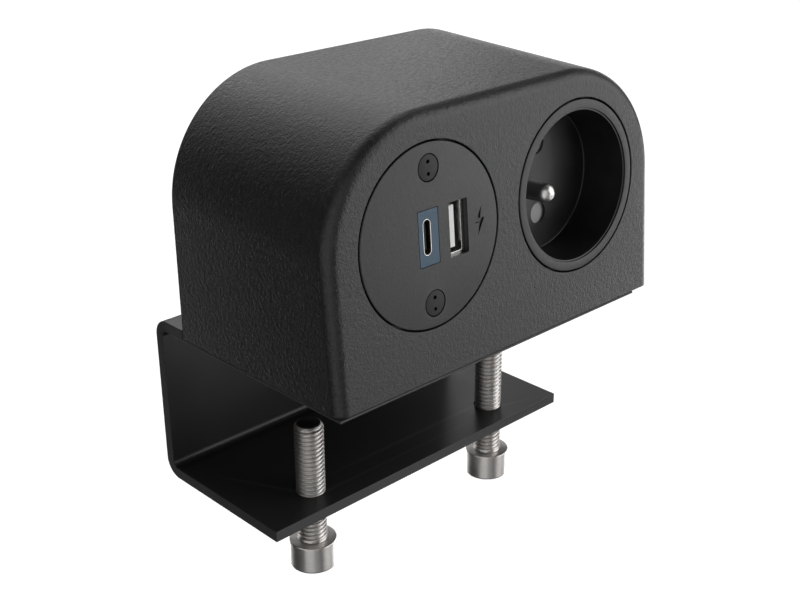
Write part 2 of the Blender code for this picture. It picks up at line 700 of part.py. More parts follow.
def socket_base(material, axis):
    inner = MODULE_BODY - BASE_WALL
    profile = [(BASE_OPENING, -BASE_BACK), (MODULE_BODY - 1.0, -BASE_BACK), (MODULE_BODY, -BASE_BACK + 1.0)]
    profile += [(MODULE_BODY, -BASE_FRONT), (inner, -BASE_FRONT), (inner, -BASE_BACK + BASE_WALL)]
    profile.append((BASE_OPENING, -BASE_BACK + BASE_WALL))
    add_object("socket_base", turned(profile, FINE, closed=True), material, axis)


def retainer(material, screw_material, front):
    """The steel plate that holds both modules against the front wall."""
    spacing = MODULE_X[1] - MODULE_X[0]
    outline = stadium((spacing + 2 * PLATE_END, 2 * PLATE_END), steps=12)
    plate = add_object("retainer_plate", prism(outline, -PLATE_BACK, -PLATE_FRONT), material, front)
    low = -PLATE_BACK - 5.0
    high = -PLATE_FRONT + 5.0
    holes = [prism(circle(MODULE_BODY + GAP, FINE, (side * spacing / 2, 0.0)), low, high) for side in (-1, 1)]
    holes += [prism(circle(PILOT_HOLE + 0.2, SMALL, (0.0, up)), low, high) for up in PLATE_SCREW_UP]
    cut(plate, combined(holes))
    over = Matrix.Rotation(math.pi, 3, "X")
    for side, up in zip(("upper", "lower"), PLATE_SCREW_UP):
        shape = pan_screw(2.6, 1.5, 1.2, 4.2)
        bmesh.ops.rotate(shape, verts=shape.verts, cent=(0, 0, 0), matrix=over)
        add_object(f"retainer_screw_{side}", shape, screw_material, front, (0.0, up, -PLATE_BACK - GAP))


# ---- cable gland, terminals and wires

def gland(plastic, rubber):
    """The body goes through the cover, the locknut holds it, and the cap squeezes the seal on a cord."""
    place = (GLAND_X, 0.0, GLAND_UP)
    tube_front = COVER_FRONT - 5.0
    flange_front = COVER_BACK + GAP
    flange_back = flange_front + 3.0
    collar_back = flange_back + 2.5
    body = [(GLAND_BORE, tube_front), (GLAND_TUBE, tube_front), (GLAND_TUBE, flange_front)]
    body += [(GLAND_FLANGE, flange_front), (GLAND_FLANGE, flange_back), (GLAND_COLLAR, flange_back)]
    body += [(GLAND_COLLAR, collar_back), (GLAND_BORE, collar_back)]
    add_object("gland_body", along_y(turned(body, MEDIUM, closed=True)), plastic, None, place)
    nut = prism(circle(9.2, 6), COVER_FRONT - GAP - 4.0, COVER_FRONT - GAP)
    locknut = add_object("gland_locknut", along_y(nut), plastic, None, place)
    cut(locknut, along_y(prism(circle(GLAND_TUBE + GAP, MEDIUM), 0.0, 40.0)))
    cap_front = flange_back + GAP
    cap_back = cap_front + 7.5
    lip = cap_back - 2.0
    cap = [(GLAND_COLLAR + GAP, cap_front), (GLAND_CAP, cap_front), (GLAND_CAP, cap_back - 3.0)]
    cap += [(GLAND_CAP - 2.0, cap_back), (GLAND_BORE + 1.0, cap_back), (GLAND_BORE + 1.0, lip)]
    cap.append((GLAND_COLLAR + GAP, lip))
    add_object("gland_cap", along_y(turned(cap, MEDIUM, closed=True)), plastic, None, place)
    seal_radius = GLAND_COLLAR - 0.1
    seal = [(GLAND_BORE, collar_back + GAP), (seal_radius, collar_back + GAP)]
    seal += [(seal_radius, lip - GAP), (GLAND_BORE, lip - GAP)]
    add_object("gland_seal", along_y(turned(seal, MEDIUM, closed=True)), rubber, None, place)


def terminals(plastic, steel):
    width, depth, height = TERMINAL_SIZE
    low = SHEET + GAP
    outline = rounded_rectangle((width, depth), 1.0, (TERMINAL_X, TERMINAL_Y))
    block = add_object("terminal_block", prism(outline, low, low + height), plastic)
    screw_front = TERMINAL_Y + 2.5
    holes = []
    for number, side in enumerate(("live", "earth", "neutral"), -1):
        place = (TERMINAL_X + number * TERMINAL_PITCH, 0.0, low + height / 2)
        hole = prism(circle(TERMINAL_SCREW + GAP, SMALL), screw_front - 0.5, TERMINAL_Y + depth)
        holes.append(moved(along_y(hole), place))
        profile = [(0, screw_front), (TERMINAL_SCREW, screw_front)]
        profile.append((TERMINAL_SCREW, TERMINAL_SCREW_TOP - 0.3))
        profile += [(TERMINAL_SCREW - 0.3, TERMINAL_SCREW_TOP), (0, TERMINAL_SCREW_TOP)]
        screw = add_object(f"terminal_screw_{side}", along_y(turned(profile, SMALL)), steel, None, place)
        slot = prism(rounded_rectangle((3.0, 0.9), 0.05, steps=1), -5.0, 5.0)
        cut(screw, moved(slot, (0.0, TERMINAL_SCREW_TOP, 0.0)))
    cut(block, combined(holes))


def wire(name, material, start, end):
    """An insulated wire that rises from a terminal and bends forward into a module."""
    steps = 10
    rise = start + Vector((0.0, 0.0, end.z - start.z))
    arrive = end + Vector((0.0, 24.0, 0.0))
    curve = bpy.data.curves.new(name, "CURVE")
    curve.dimensions = "3D"
    curve.bevel_depth = WIRE_RADIUS * MM
    curve.bevel_resolution = 2
    curve.use_fill_caps = True
    line = curve.splines.new("POLY")
    line.points.add(steps)
    for step in range(steps + 1):
        share = step / steps
        rest = 1.0 - share
        point = rest ** 3 * start + 3 * rest ** 2 * share * rise
        point += 3 * rest * share ** 2 * arrive + share ** 3 * end
        line.points[step].co = (*(point * MM), 1.0)
    curve.materials.append(material)
    made = bpy.data.objects.new(name, curve)
    bpy.context.collection.objects.link(made)


def inside_module(axis, x, up, depth):
    """A point given in a module's axes, in the casing's axes and in millimetres."""
    turn = Matrix.Rotation(axis.rotation_euler.x, 3, "X")
    return axis.location / MM + turn @ Vector((x, up, -depth))


def wires(brown, blue, green, charger, socket):
    top = SHEET + GAP + TERMINAL_SIZE[2] + GAP
    live = TERMINAL_X - TERMINAL_PITCH
    neutral = TERMINAL_X + TERMINAL_PITCH
    contact_back = CONTACT_BACK + GAP
    wire("wire_live", brown, Vector((live + 2.0, TERMINAL_Y + 1.0, top)),
         inside_module(socket, 0.0, CONTACT_UP[0], contact_back))
    wire("wire_neutral", blue, Vector((neutral + 2.0, TERMINAL_Y, top)),
         inside_module(socket, 0.0, CONTACT_UP[1], contact_back))
    wire("wire_earth", green, Vector((TERMINAL_X, TERMINAL_Y + 2.0, top)),
         inside_module(socket, EARTH_PIN_X, 0.0, EARTH_PIN_BACK + GAP))
    wire("wire_charger_live", brown, Vector((live - 2.0, TERMINAL_Y - 3.5, top)),
         inside_module(charger, -3.0, -13.0, CAN_BACK - 3.0))
    wire("wire_charger_neutral", blue, Vector((neutral - 2.0, TERMINAL_Y - 3.5, top)),
         inside_module(charger, 3.0, -13.0, CAN_BACK - 3.0))


def build():
    clear_scene()
    shell_black = make_material("textured_black", (0.035, 0.035, 0.037), 0.6)
    bracket_black = make_material("bracket_black", (0.02, 0.02, 0.021), 0.4, 0.6)
    bezel_black = make_material("bezel_black", (0.04, 0.04, 0.042), 0.5)
    stainless = make_material("stainless_steel", (0.62, 0.61, 0.6), 0.3, 1.0)
    zinc = make_material("zinc_plated_steel", (0.55, 0.56, 0.58), 0.35, 1.0)
    nickel = make_material("nickel_plated", (0.75, 0.74, 0.72), 0.2, 1.0)
    brass = make_material("brass", (0.7, 0.5, 0.22), 0.3, 1.0)
    nylon = make_material("black_nylon", (0.03, 0.03, 0.03), 0.5)
    blue = make_material("blue_grey_plastic", (0.1, 0.17, 0.22), 0.45)
    grey = make_material("grey_plastic", (0.25, 0.25, 0.26), 0.5)
    white = make_material("white_plastic", (0.75, 0.75, 0.73), 0.5)
    board = make_material("board_green", (0.02, 0.16, 0.07), 0.45)
    rubber = make_material("seal_rubber", (0.02, 0.02, 0.02), 0.8)
    brown = make_material("wire_brown", (0.2, 0.08, 0.03), 0.5)
    wire_blue = make_material("wire_blue", (0.03, 0.12, 0.5), 0.5)
    green = make_material("wire_green", (0.1, 0.4, 0.08), 0.5)

    front = front_axis("front_axis", front_middle())
    charger = front_axis("charger_axis", MODULE_X[0])
    socket = front_axis("socket_axis", MODULE_X[1])

    casing(shell_black, front)
    rear_cover(shell_black)
    cover_screws(zinc)
    clamp_bracket(bracket_black)
    bracket_screws(zinc)
    for side, x in zip(("left", "right"), CLAMP_SCREW_X):
        clamp_screw(side, x, stainless, nylon)
    charger_bezel(bezel_black, charger)
    bezel_fasteners(nylon, charger)
    usb_ports(blue, nickel, white, charger)
    charger_electronics(board, grey, zinc, charger)
    charger_can(nylon, charger)
    socket_cup(bezel_black, socket)
    earth_pin(nickel, socket)
    shutter(grey, zinc, socket)
    shutter_spring(zinc, socket)
    socket_contacts(brass, grey, socket)
    socket_base(nylon, socket)
    retainer(zinc, zinc, front)
    gland(nylon, rubber)
    terminals(white, zinc)
    wires(brown, wire_blue, green, charger, socket)


build()
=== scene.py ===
"""Looks for the clamp-on desk power module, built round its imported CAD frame.

Sizes are in millimetres and become metres when a mesh is made. Places come from the frame.
"""
import json
import math

import bmesh
import bpy
from mathutils import Matrix
from mathutils import Vector


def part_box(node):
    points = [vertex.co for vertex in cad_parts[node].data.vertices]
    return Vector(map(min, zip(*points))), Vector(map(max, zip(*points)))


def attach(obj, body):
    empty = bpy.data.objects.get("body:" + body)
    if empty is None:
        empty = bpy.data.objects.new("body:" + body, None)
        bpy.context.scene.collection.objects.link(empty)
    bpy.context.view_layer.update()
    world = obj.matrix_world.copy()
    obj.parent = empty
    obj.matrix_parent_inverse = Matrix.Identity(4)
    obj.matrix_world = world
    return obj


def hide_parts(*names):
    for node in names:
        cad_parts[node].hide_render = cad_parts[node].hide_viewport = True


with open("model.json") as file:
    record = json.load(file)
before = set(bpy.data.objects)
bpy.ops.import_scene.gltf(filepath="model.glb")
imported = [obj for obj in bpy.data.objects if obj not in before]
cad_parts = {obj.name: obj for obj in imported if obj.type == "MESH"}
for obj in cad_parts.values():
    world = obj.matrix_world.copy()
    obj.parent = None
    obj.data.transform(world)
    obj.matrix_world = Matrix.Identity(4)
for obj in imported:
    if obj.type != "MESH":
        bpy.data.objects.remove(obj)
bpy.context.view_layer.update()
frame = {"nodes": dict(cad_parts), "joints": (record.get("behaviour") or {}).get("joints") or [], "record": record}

MM = 0.001

# Camera
CAMERA_PLACE = (-0.21784, -0.22385, 0.14019)
CAMERA_TURN = (66.56, 0.37, -43.57)
CAMERA_LENS = 57.46

# Soft boxes stand on a sphere round the object, in metres
SOFT_BOX = 0.95
SOFT_BOX_DISTANCE = 1.6

# Casing
CASE_HEIGHT = 68.0
CASE_FRONT_HEIGHT = 65.6
CASE_RADIUS = 31.3
CASE_WALL = 3.0
CASE_RIM = 0.66
CASE_ARC_STEPS = 44
CASE_EDGE = 0.22
FRONT_FILLET = 3.3
FRONT_FILLET_STEPS = 9
COVER_SEAM = 0.2
COVER_EDGE = 0.3
COVER_HOLE = 1.8
GLAND_HOLE = 6.1
PAN_SHANK = 1.2
PAN_RIM = 0.6
PAN_DRIVE = (1.5, 0.6, 1.0)

# Bracket
LIP_HEIGHT = 0.6
LOWER_FLANGE_FRONT = -4.7
BEND_INNER = 2.0
BEND_STEPS = 14
BRACKET_EDGE = 0.14
SUNK_HEX = 1.45
SUNK_HEX_DEPTH = 1.8

# Clamp screws, M8 with a 1.25 mm pitch
PITCH = 1.25
SCREW_TRAVEL = 18.0
THREAD_CREST = 3.97
THREAD_ROOT = 3.35
ROWS_PER_PITCH = 12
THREAD_HOLE = 4.06
HEX_SOCKET = 3.46
HEX_SOCKET_DEPTH = 4.0
HEAD_HEIGHT = 8.0
HEAD_ROUND = 0.6
RUN_OUT = 0.9
END_CHAMFER = 0.85
END_SLOPE = 0.8
TIP_STANDS = 0.12
SCREW_STEPS = 72

# Both modules. The shutter's joint lies this far behind the front face
SHUTTER_MIDDLE = 15.5
MODULE_OPENING = 22.72
MODULE_FACE = 22.3
MODULE_FLANGE = 25.5
FLANGE_FRONT = 3.3
FLANGE_BACK = 5.8
MODULE_BODY = 21.0
FACE_EDGE = 0.25

# Charger module
BEZEL_WEB = 2.5
BEZEL_INNER = 19.5
FASTENER_X = 0.1
FASTENER_UP = (16.4, -16.4)
FASTENER = 3.15
FASTENER_GAP = 0.22
FASTENER_EDGE = 0.2
KEY_HOLE = 0.5
KEY_HOLE_UP = 1.45
MARK_X = 16.2
MARK_DEPTH = 0.4
PORT_BACK = 14.5
PORT_FLOOR = 13.5
TONGUE_BACK = 13.2
INSERT_CENTRE = (-0.87, 0.0)
INSERT_SIZE = (6.3, 13.4)
INSERT_GAP = 0.17
USB_C_CENTRE = (-1.4, 0.2)
USB_C_SIZE = (2.55, 8.8)
USB_C_WALL = 0.18
USB_C_TONGUE = (0.7, 6.4)
USB_C_PADS = 12
USB_A_CENTRE = (9.05, -0.05)
USB_A_WINDOW = (6.2, 13.5)
USB_A_FRONT = 1.5
USB_A_WALL = 0.9
USB_A_SHELL = (6.0, 14.4)
USB_A_MIDDLE = (9.05, 0.1)
USB_A_TONGUE = (2.0, 10.4)

# Socket module
RECESS = 19.5
RECESS_STEP = (19.95, 0.4)
RECESS_DEPTH = 13.7
FLOOR_BACK = 14.4
CUP_FLOOR = 0.7
SHUTTER_BEHIND = 0.15
SHUTTER_END = 3.5
SHUTTER_BACK = 16.3
CONTACT_UP = (9.5, -9.5)
CONTACT_HOLE = 2.9
PIVOT_HOLE = 1.5
EARTH_PIN_X = -9.6
EARTH_PIN = 2.5
EARTH_PIN_TIP = 0.3
EARTH_PIN_BACK = 28.0
EARTH_PIN_COLLAR = 3.5

# Cable gland
GLAND_RIBS = 9.0
GLAND_RIB_DEPTH = 0.45

ROUND = 144
SMALL_ROUND = 64

# How a texture is stretched along X, Y and Z
EVEN = (1.0, 1.0, 1.0)
LATHE_LINES = (1.0, 1.0, 18.0)


# ---- places taken from the frame

def box(node):
    """A CAD node's lowest and highest corner, in millimetres."""
    low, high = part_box(node)
    return low / MM, high / MM


def middle(node):
    low, high = box(node)
    return (low + high) / 2


HINGE = next(joint for joint in frame["joints"] if joint["name"] == "shutter_turn")
FACE_OUT = Vector(HINGE["axis"]).normalized()
LEAN = math.asin(FACE_OUT.z)


def face_place(x):
    """Axes on the leaning front face: X to the right, Y up the face and Z out of it."""
    place = Matrix.Rotation(math.pi / 2 - LEAN, 4, "X")
    centre = Vector(HINGE["pos_m"]) / MM + FACE_OUT * SHUTTER_MIDDLE
    place.translation = (x, centre.y, centre.z)
    return place


def back_place(x, z):
    """Axes on the casing's back: Z out of it, backwards, at a height z."""
    place = Matrix.Rotation(-math.pi / 2, 4, "X")
    place.translation = (x, 0.0, z)
    return place


# ---- outlines and shapes in millimetres

def circle(radius, steps, centre=(0.0, 0.0)):
    points = []
    for step in range(steps):
        angle = math.tau * step / steps
        points.append((centre[0] + radius * math.cos(angle), centre[1] + radius * math.sin(angle)))
    return points


def arc(centre, radius, start, end, steps):
    """Points along an arc, angles in degrees, both ends included."""
    points = []
    for step in range(steps + 1):
        angle = math.radians(start + (end - start) * step / steps)
        points.append((centre[0] + radius * math.cos(angle), centre[1] + radius * math.sin(angle)))
    return points


def rounded_rectangle(size, radius, centre=(0.0, 0.0), steps=8):
    half_x = size[0] / 2 - radius
    half_y = size[1] / 2 - radius
    points = []
    for sign_x, sign_y, start in ((1, 1, 0), (-1, 1, 90), (-1, -1, 180), (1, -1, 270)):
        corner = (centre[0] + sign_x * half_x, centre[1] + sign_y * half_y)
        points += arc(corner, radius, start, start + 90, steps)
    return points


def stadium(size, centre=(0.0, 0.0), steps=16):
    return rounded_rectangle(size, min(size) / 2 - 0.001, centre, steps)


def prism(outline, low, high):
    """An outline in XY, extruded from one height to another."""
    shape = bmesh.new()
    bottom = shape.faces.new([shape.verts.new((x, y, low)) for x, y in outline])
    raised = bmesh.ops.extrude_face_region(shape, geom=[bottom])
    lifted = [item for item in raised["geom"] if isinstance(item, bmesh.types.BMVert)]
    bmesh.ops.translate(shape, verts=lifted, vec=(0.0, 0.0, high - low))
    bmesh.ops.recalc_face_normals(shape, faces=shape.faces)
    return shape


def revolved(rows, steps, closed=False):
    """Rings of (radius, height) joined into a skin. A radius may be a function of the angle.

    An open set of rows is capped at both ends, and a closed one joins its last ring to its first.
    """
    shape = bmesh.new()
    rings = []
    for radius, height in rows:
        ring = []
        for step in range(steps):
            angle = math.tau * step / steps
            reach = radius(angle) if callable(radius) else radius
            ring.append(shape.verts.new((reach * math.cos(angle), reach * math.sin(angle), height)))
        rings.append(ring)
    pairs = list(zip(rings, rings[1:]))
    if closed:
        pairs.append((rings[-1], rings[0]))
    for lower, upper in pairs:
        for step in range(steps):
            after = (step + 1) % steps
            shape.faces.new((lower[step], lower[after], upper[after], upper[step]))
    if not closed:
        shape.faces.new(rings[0])
        shape.faces.new(rings[-1])
    bmesh.ops.recalc_face_normals(shape, faces=shape.faces)
    return shape


def combined(shapes):
    """Several separate closed shapes in one."""
    whole = bmesh.new()
    for shape in shapes:
        part = bpy.data.meshes.new("part")
        shape.to_mesh(part)
        shape.free()
        whole.from_mesh(part)
        bpy.data.meshes.remove(part)
    return whole


def moved(shape, offset):
    bmesh.ops.translate(shape, verts=shape.verts, vec=offset)
    return shape


# ---- pieces

def new_object(name, shape, place=None):
    """Make an object from a shape in millimetres, brought into the world by its place."""
    bring = Matrix.Diagonal((MM, MM, MM, 1.0)) @ (place or Matrix.Identity(4))
    bmesh.ops.transform(shape, matrix=bring, verts=shape.verts)
    mesh = bpy.data.meshes.new(name)
    shape.to_mesh(mesh)
    shape.free()
    made = bpy.data.objects.new(name, mesh)
    bpy.context.collection.objects.link(made)
    return made


def bake(piece):
    """Turn a piece's modifiers into its mesh."""
    graph = bpy.context.evaluated_depsgraph_get()
    mesh = bpy.data.meshes.new_from_object(piece.evaluated_get(graph))
    piece.modifiers.clear()
    piece.data = mesh


def carve(piece, shapes, place=None, operation="DIFFERENCE"):
    """Cut shapes out of a piece, or join them on."""
    tool = new_object("tool", combined(shapes), place)
    step = piece.modifiers.new("carve", "BOOLEAN")
    step.operation = operation
    step.solver = "EXACT"
    step.object = tool
    bake(piece)
    bpy.data.objects.remove(tool, do_unlink=True)


def soften(piece, width, segments=2, angle=40):
    """Round a piece's sharp edges a little, so that they catch the light."""
    piece.data.shade_smooth()
    step = piece.modifiers.new("edges", "BEVEL")
    step.width = width * MM
    step.segments = segments
    step.limit_method = "ANGLE"
    step.angle_limit = math.radians(angle)
    step.use_clamp_overlap = False
    step.harden_normals = True
    bake(piece)


def smooth(piece, angle=35):
    piece.data.shade_smooth()
    piece.data.set_sharp_from_angle(angle=math.radians(angle))


def settle(piece, body, paint, nodes):
    """Give a piece its material, its body and the CAD nodes that it stands for."""
    piece.data.materials.clear()
    for each in paint if isinstance(paint, (list, tuple)) else [paint]:
        piece.data.materials.append(each)
    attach(piece, body)
    if nodes:
        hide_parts(*nodes)
    return piece


# ---- materials

def new_material(name, colour, roughness, metallic=0.0):
    made = bpy.data.materials.new(name)
    made.use_nodes = True
    shader = made.node_tree.nodes["Principled BSDF"]
    shader.inputs["Base Color"].default_value = (*colour, 1.0)
    shader.inputs["Roughness"].default_value = roughness
    shader.inputs["Metallic"].default_value = metallic
    return made, made.node_tree, shader


def noise(tree, scale, detail=3.0, stretch=EVEN):
    """Noise with a number of features to a metre, in the object's own axes."""
    where = tree.nodes.new("ShaderNodeTexCoord")
    mapping = tree.nodes.new("ShaderNodeMapping")
    mapping.inputs["Scale"].default_value = stretch
    texture = tree.nodes.new("ShaderNodeTexNoise")
    texture.inputs["Scale"].default_value = scale
    texture.inputs["Detail"].default_value = detail
    tree.links.new(where.outputs["Object"], mapping.inputs["Vector"])
    tree.links.new(mapping.outputs["Vector"], texture.inputs["Vector"])
    return texture.outputs["Fac"]


def between(tree, fac, low, high, start=0.3, end=0.7):
    """Spread a texture's value over a range."""
    spread = tree.nodes.new("ShaderNodeMapRange")
    spread.inputs["From Min"].default_value = start
    spread.inputs["From Max"].default_value = end
    spread.inputs["To Min"].default_value = low
    spread.inputs["To Max"].default_value = high
    tree.links.new(fac, spread.inputs["Value"])
    return spread.outputs["Result"]


def two_colours(tree, shader, fac, dark, light, start=0.35, end=0.65):
    ramp = tree.nodes.new("ShaderNodeValToRGB")
    ramp.color_ramp.elements[0].position = start
    ramp.color_ramp.elements[0].color = (*dark, 1.0)
    ramp.color_ramp.elements[1].position = end
    ramp.color_ramp.elements[1].color = (*light, 1.0)
    tree.links.new(fac, ramp.inputs["Fac"])
    tree.links.new(ramp.outputs["Color"], shader.inputs["Base Color"])


def bump(tree, shader, height, distance, before=None):
    """Raise the surface by a texture, over an earlier bump if there is one."""
    step = tree.nodes.new("ShaderNodeBump")
    step.inputs["Distance"].default_value = distance
    tree.links.new(height, step.inputs["Height"])
    if before:
        tree.links.new(before, step.inputs["Normal"])
    tree.links.new(step.outputs["Normal"], shader.inputs["Normal"])
    return step.outputs["Normal"]


def grained_plastic(name, dark, light, roughness, grain, depth):
    """Moulded plastic with a spark-eroded grain, given in features to a metre and metres of depth."""
    made, tree, shader = new_material(name, dark, roughness)
    fine = noise(tree, grain, 2.0)
    coarse = noise(tree, grain * 0.37, 2.0)
    two_colours(tree, shader, fine, dark, light)
    tree.links.new(between(tree, coarse, roughness - 0.06, roughness + 0.06), shader.inputs["Roughness"])
    first = bump(tree, shader, fine, depth)
    bump(tree, shader, coarse, depth * 1.2, first)
    return made


def smooth_plastic(name, dark, light, roughness, shine=0.5):
    """Polished moulded plastic with faint flow marks."""
    made, tree, shader = new_material(name, dark, roughness)
    shader.inputs["Specular IOR Level"].default_value = shine
    flow = noise(tree, 160.0, 3.0)
    fine = noise(tree, 2600.0, 2.0)
    two_colours(tree, shader, flow, dark, light)
    tree.links.new(between(tree, flow, roughness - 0.04, roughness + 0.04), shader.inputs["Roughness"])
    bump(tree, shader, fine, 0.000004)
    return made


def powder_coat(name):
    """Satin black powder coat with a soft orange peel, rubbed paler at its edges."""
    made, tree, shader = new_material(name, (0.008, 0.008, 0.0085), 0.34)
    shader.inputs["Specular IOR Level"].default_value = 0.42
    peel = noise(tree, 900.0, 2.0)
    cloud = noise(tree, 60.0, 3.0)
    edges = tree.nodes.new("ShaderNodeNewGeometry").outputs["Pointiness"]
    two_colours(tree, shader, edges, (0.008, 0.008, 0.0085), (0.035, 0.035, 0.036), 0.52, 0.6)
    tree.links.new(between(tree, cloud, 0.3, 0.38), shader.inputs["Roughness"])
    bump(tree, shader, peel, 0.000006)
    return made


def turned_steel(name, colour, roughness, lines=LATHE_LINES, depth=0.000003):
    """Machined metal with fine lines round its Z axis."""
    made, tree, shader = new_material(name, colour, roughness, 1.0)
    marks = noise(tree, 420.0, 4.0, lines)
    cloud = noise(tree, 220.0, 3.0)
    darker = tuple(channel * 0.86 for channel in colour)
    two_colours(tree, shader, marks, darker, colour)
    tree.links.new(between(tree, cloud, roughness - 0.05, roughness + 0.06), shader.inputs["Roughness"])
    bump(tree, shader, marks, depth)
    return made


def circuit_board(name):
    """Green lacquer over copper tracks."""
    made, tree, shader = new_material(name, (0.02, 0.16, 0.07), 0.35)
    where = tree.nodes.new("ShaderNodeTexCoord")
    bricks = tree.nodes.new("ShaderNodeTexBrick")
    bricks.inputs["Scale"].default_value = 320.0
    bricks.inputs["Color1"].default_value = (0.02, 0.16, 0.07, 1.0)
    bricks.inputs["Color2"].default_value = (0.016, 0.13, 0.055, 1.0)
    bricks.inputs["Mortar"].default_value = (0.05, 0.24, 0.1, 1.0)
    tree.links.new(where.outputs["Object"], bricks.inputs["Vector"])
    tree.links.new(bricks.outputs["Color"], shader.inputs["Base Color"])
    bump(tree, shader, bricks.outputs["Fac"], 0.00003)
    return made


def make_materials():
    """One material for each of the record's slots, and a few more for details."""
    return {
        "textured_black": grained_plastic("textured_black", (0.011, 0.011, 0.0112), (0.017, 0.017, 0.0175),
                                          0.34, 2600.0, 0.0001),
        "bracket_black": powder_coat("bracket_black"),
        "bezel_black": grained_plastic("bezel_black", (0.01, 0.01, 0.0105), (0.019, 0.019, 0.02), 0.36,
                                       3200.0, 0.000025),
        "black_nylon": smooth_plastic("black_nylon", (0.006, 0.006, 0.0065), (0.012, 0.012, 0.0125),
                                      0.42, 0.3),
        # A darker black for the socket's recess, painted shade
        "recess_painted_shade": smooth_plastic("recess_painted_shade", (0.007, 0.007, 0.0075), (0.01, 0.01, 0.0105), 0.38),
        "stainless_steel": turned_steel("stainless_steel", (0.66, 0.635, 0.615), 0.36, depth=0.0000004),
        "zinc_plated_steel": turned_steel("zinc_plated_steel", (0.6, 0.61, 0.62), 0.32),
        "pin_metal": turned_steel("pin_metal", (0.8, 0.79, 0.78), 0.34, EVEN, 0.000001),
        "nickel_plated": turned_steel("nickel_plated", (0.8, 0.79, 0.77), 0.2, EVEN, 0.000001),
        "gold_plated": turned_steel("gold_plated", (0.85, 0.62, 0.28), 0.22, EVEN, 0.000001),
        "brass_contact": turned_steel("brass_contact", (0.72, 0.52, 0.24), 0.28),
        "blue_grey_plastic": grained_plastic("blue_grey_plastic", (0.02, 0.065, 0.11), (0.028, 0.08, 0.13),
                                             0.4, 3000.0, 0.00001),
        "grey_plastic": smooth_plastic("grey_plastic", (0.36, 0.36, 0.365), (0.4, 0.4, 0.405), 0.45),
        "white_plastic": smooth_plastic("white_plastic", (0.88, 0.88, 0.87), (0.93, 0.93, 0.92), 0.35),
        "board_green": circuit_board("board_green"),
        "capacitor_sleeve": smooth_plastic("capacitor_sleeve", (0.02, 0.025, 0.05), (0.03, 0.035, 0.065),
                                           0.3),
        "seal_rubber": grained_plastic("seal_rubber", (0.01, 0.01, 0.01), (0.018, 0.018, 0.018), 0.72,
                                       1800.0, 0.00002),
        "wire_brown": smooth_plastic("wire_brown", (0.16, 0.06, 0.025), (0.2, 0.08, 0.03), 0.4),
        "wire_blue": smooth_plastic("wire_blue", (0.02, 0.09, 0.42), (0.03, 0.12, 0.5), 0.4),
        "wire_green": smooth_plastic("wire_green", (0.08, 0.34, 0.07), (0.1, 0.4, 0.08), 0.4),
    }


# ---- casing and rear cover

def case_frame():
    """The casing's left, right, front and back."""
    low, high = box("casing")
    return low.x, high.x, box("clamp_bracket")[0].y, high.y


def case_outline(inset, bottom):
    """The D outline in X and Z at the casing's back."""
    left, right, _, _ = case_frame()
    radius = CASE_RADIUS - inset
    up = CASE_HEIGHT - CASE_RADIUS
    points = [(left + inset, bottom)]
    points += arc((left + CASE_RADIUS, up), radius, 180, 90, CASE_ARC_STEPS)
    points += arc((right - CASE_RADIUS, up), radius, 90, 0, CASE_ARC_STEPS)
    points.append((right - inset, bottom))
    return points


def case_solid(outlines, back):
    """Loft (outline, depth) pairs, each a depth behind the leaning front, to a plane at the back."""
    _, _, front, case_back = case_frame()
    shape = bmesh.new()
    shrink = CASE_FRONT_HEIGHT / CASE_HEIGHT
    rings = []
    for outline, depth in outlines + [(outlines[-1][0], None)]:
        ring = []
        for x, z in outline:
            front_z = z * shrink
            front_y = front + front_z * math.tan(LEAN)
            y = back if depth is None else front_y + depth
            share = (y - front_y) / (case_back - front_y)
            ring.append(shape.verts.new((x, y, front_z + (z - front_z) * share)))
        rings.append(ring)
    count = len(rings[0])
    for ahead, behind in zip(rings, rings[1:]):
        for step in range(count):
            after = (step + 1) % count
            shape.faces.new((ahead[step], ahead[after], behind[after], behind[step]))
    shape.faces.new(rings[0])
    shape.faces.new(rings[-1])
    bmesh.ops.recalc_face_normals(shape, faces=shape.faces)
    return shape


def casing(paint):
    _, right, _, back = case_frame()
    outlines = []
    for step in range(FRONT_FILLET_STEPS + 1):
        turn = math.radians(90.0 * step / FRONT_FILLET_STEPS)
        outline = case_outline(FRONT_FILLET * (1.0 - math.sin(turn)), CASE_RIM)
        outlines.append((outline, FRONT_FILLET * (1.0 - math.cos(turn))))
    piece = new_object("case_shell", case_solid(outlines, back))
    ledge = box("clamp_bracket")[1].x + 0.3
    ledge_top = CASE_RIM + CASE_WALL
    hollow = case_outline(CASE_WALL, -5.0)[:-1]
    hollow += [(right - CASE_WALL, ledge_top), (ledge, ledge_top), (ledge, -5.0)]
    carve(piece, [case_solid([(hollow, CASE_WALL)], back + 5.0)])
    for module in ("charger_bezel", "socket_cup"):
        opening = prism(circle(MODULE_OPENING, ROUND), -8.0, 5.0)
        carve(piece, [opening], face_place(middle(module).x))
    soften(piece, CASE_EDGE)
    settle(piece, "housing", paint["textured_black"], ["casing"])


def rear_cover(paint):
    low, high = box("rear_cover")
    outline = [(x, -z) for x, z in case_outline(CASE_WALL + COVER_SEAM, low.z)]
    piece = new_object("back_cover", prism(outline, low.y, high.y), back_place(0.0, 0.0))
    gland = middle("gland_body")
    hole = prism(circle(GLAND_HOLE, SMALL_ROUND), low.y - 5.0, high.y + 5.0)
    holes = [moved(hole, (gland.x, -gland.z, 0.0))]
    for number in range(1, 5):
        place = middle(f"cover_screw_{number}")
        hole = prism(circle(COVER_HOLE, SMALL_ROUND), low.y - 5.0, high.y + 5.0)
        holes.append(moved(hole, (place.x, -place.z, 0.0)))
    carve(piece, holes, back_place(0.0, 0.0))
    soften(piece, COVER_EDGE)
    settle(piece, "housing", paint["textured_black"], ["rear_cover"])


def cross(arm, width, low, high):
    """The cross of a screw's drive."""
    half = width / 2
    outline = [(half, half), (half, arm), (-half, arm), (-half, half), (-arm, half), (-arm, -half),
               (-half, -half), (-half, -arm), (half, -arm), (half, -half), (arm, -half), (arm, half)]
    return prism(outline, low, high)


